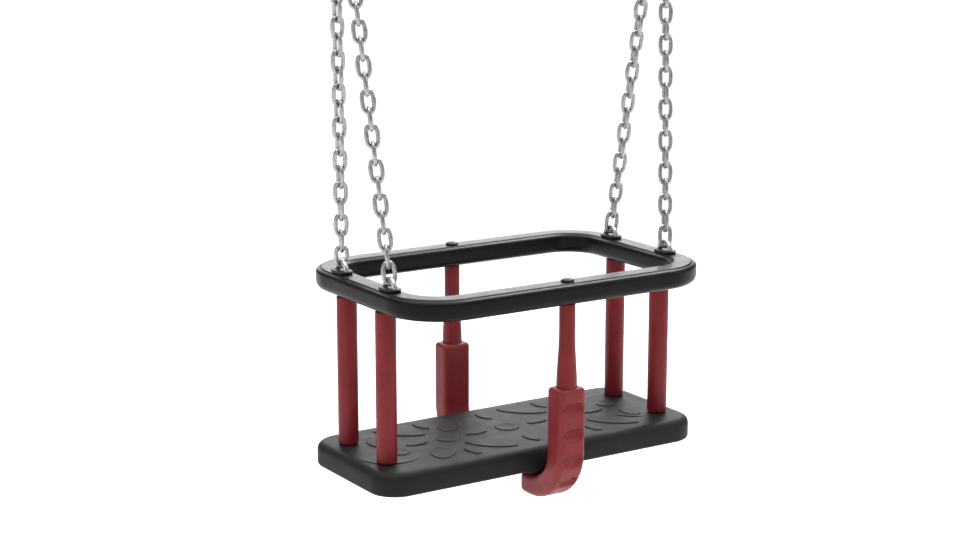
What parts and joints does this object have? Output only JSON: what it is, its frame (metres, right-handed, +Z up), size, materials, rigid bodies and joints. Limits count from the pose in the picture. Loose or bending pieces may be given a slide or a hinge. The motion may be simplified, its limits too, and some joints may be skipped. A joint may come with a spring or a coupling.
{
  "type": "toddler bucket swing",
  "caption": "Cradle swing: a rubber ring guard over a rubber seat board on red posts, J-shaped hooks front and back, hung by short-link chains from bush hangers.",
  "frame": {"origin": "midway between the two hangers' top faces, on the underside of the beam", "axes": "+X along the seat's long side, -Y the front, +Z up"},
  "size_m": [0.522, 0.2708, 0.7721],
  "materials": {
    "rubber": "black moulded rubber, satin on the ring and matt on the seat",
    "red_plastic": "dark red moulded plastic, soft satin sheen",
    "zinc_steel": "bright zinc-plated steel",
    "galvanised_chain": "galvanised steel wire, bright with grey mottling",
    "black_steel": "black painted steel, semi-gloss",
    "core_steel": "plain mild steel, hidden inside the rubber",
    "brass": "turned brass",
    "nylon": "natural nylon"
  },
  "bodies": {
    "hangers": {"hanger_axle_left": "zinc_steel", "hanger_axle_right": "zinc_steel", "hanger_bracket_left": "zinc_steel", "hanger_bracket_right": "zinc_steel", "hanger_nut_left": "zinc_steel", "hanger_nut_right": "zinc_steel"},
    "left_eye": {"hanger_bush_left": "nylon", "hanger_eye_left": "zinc_steel", "shackle_bow_left": "zinc_steel", "shackle_nut_left": "zinc_steel", "shackle_pin_left": "zinc_steel"},
    "right_eye": {"hanger_bush_right": "nylon", "hanger_eye_right": "zinc_steel", "shackle_bow_right": "zinc_steel", "shackle_nut_right": "zinc_steel", "shackle_pin_right": "zinc_steel"},
    "left_chains": {"chain_left_back": "galvanised_chain", "chain_left_front": "galvanised_chain", "end_link_left_back": "galvanised_chain", "end_link_left_front": "galvanised_chain"},
    "right_chains": {"chain_right_back": "galvanised_chain", "chain_right_front": "galvanised_chain"},
    "right_end_links": {"end_link_right_back": "galvanised_chain", "end_link_right_front": "galvanised_chain"},
    "seat": {"base_plate_left_back": "black_steel", "base_plate_left_front": "black_steel", "base_plate_right_back": "black_steel", "base_plate_right_front": "black_steel", "centre_bolt_back": "black_steel", "centre_bolt_front": "black_steel", "centre_post_back": "red_plastic", "centre_post_front": "red_plastic", "corner_post_left_back": "red_plastic", "corner_post_left_front": "red_plastic", "corner_post_right_back": "red_plastic", "corner_post_right_front": "red_plastic", "hook_back": "red_plastic", "hook_front": "red_plastic", "hook_insert_back": "brass", "hook_insert_front": "brass", "hook_screw_back": "black_steel", "hook_screw_front": "black_steel", "ring_core": "core_steel", "ring_cover": "rubber", "ring_nut_left_back": "zinc_steel", "ring_nut_left_front": "zinc_steel", "ring_nut_right_back": "zinc_steel", "ring_nut_right_front": "zinc_steel", "seat_core": "core_steel", "seat_cover": "rubber", "seat_nut_left_back": "zinc_steel", "seat_nut_left_front": "zinc_steel", "seat_nut_right_back": "zinc_steel", "seat_nut_right_front": "zinc_steel", "u_bolt_left_back": "zinc_steel", "u_bolt_left_front": "zinc_steel", "u_bolt_right_back": "zinc_steel", "u_bolt_right_front": "zinc_steel"}
  },
  "joints": [
    {"name": "swing", "type": "hinge", "parent": "hangers", "child": "left_eye", "pos_m": [-0.213, 0, -0.032], "axis": [1, 0, 0], "range_deg": [-60, 60]},
    {"name": "swing_right", "type": "hinge", "parent": "hangers", "child": "right_eye", "pos_m": [0.213, 0, -0.032], "axis": [1, 0, 0], "range_deg": [-60, 60]},
    {"name": "sway", "type": "hinge", "parent": "left_eye", "child": "left_chains", "pos_m": [-0.213, 0, -0.088], "axis": [0, 1, 0], "range_deg": [-8, 8]},
    {"name": "sway_right", "type": "hinge", "parent": "right_eye", "child": "right_chains", "pos_m": [0.213, 0, -0.088], "axis": [0, 1, 0], "range_deg": [-8, 8]},
    {"name": "seat_level", "type": "hinge", "parent": "left_chains", "child": "seat", "pos_m": [-0.186, 0, -0.50309], "axis": [0, 1, 0], "range_deg": [-9.3, 9.3]},
    {"name": "end_link_right", "type": "hinge", "parent": "seat", "child": "right_end_links", "pos_m": [0.186, 0, -0.50309], "axis": [0, 1, 0], "range_deg": [-9.3, 9.3]}
  ],
  "couplings": [
    {"joint": "swing_right", "follows": "swing", "ratio": 1},
    {"joint": "sway_right", "follows": "sway", "ratio": 1},
    {"joint": "seat_level", "follows": "sway", "ratio": -1.1452},
    {"joint": "end_link_right", "follows": "sway", "ratio": 1.1452}
  ]
}
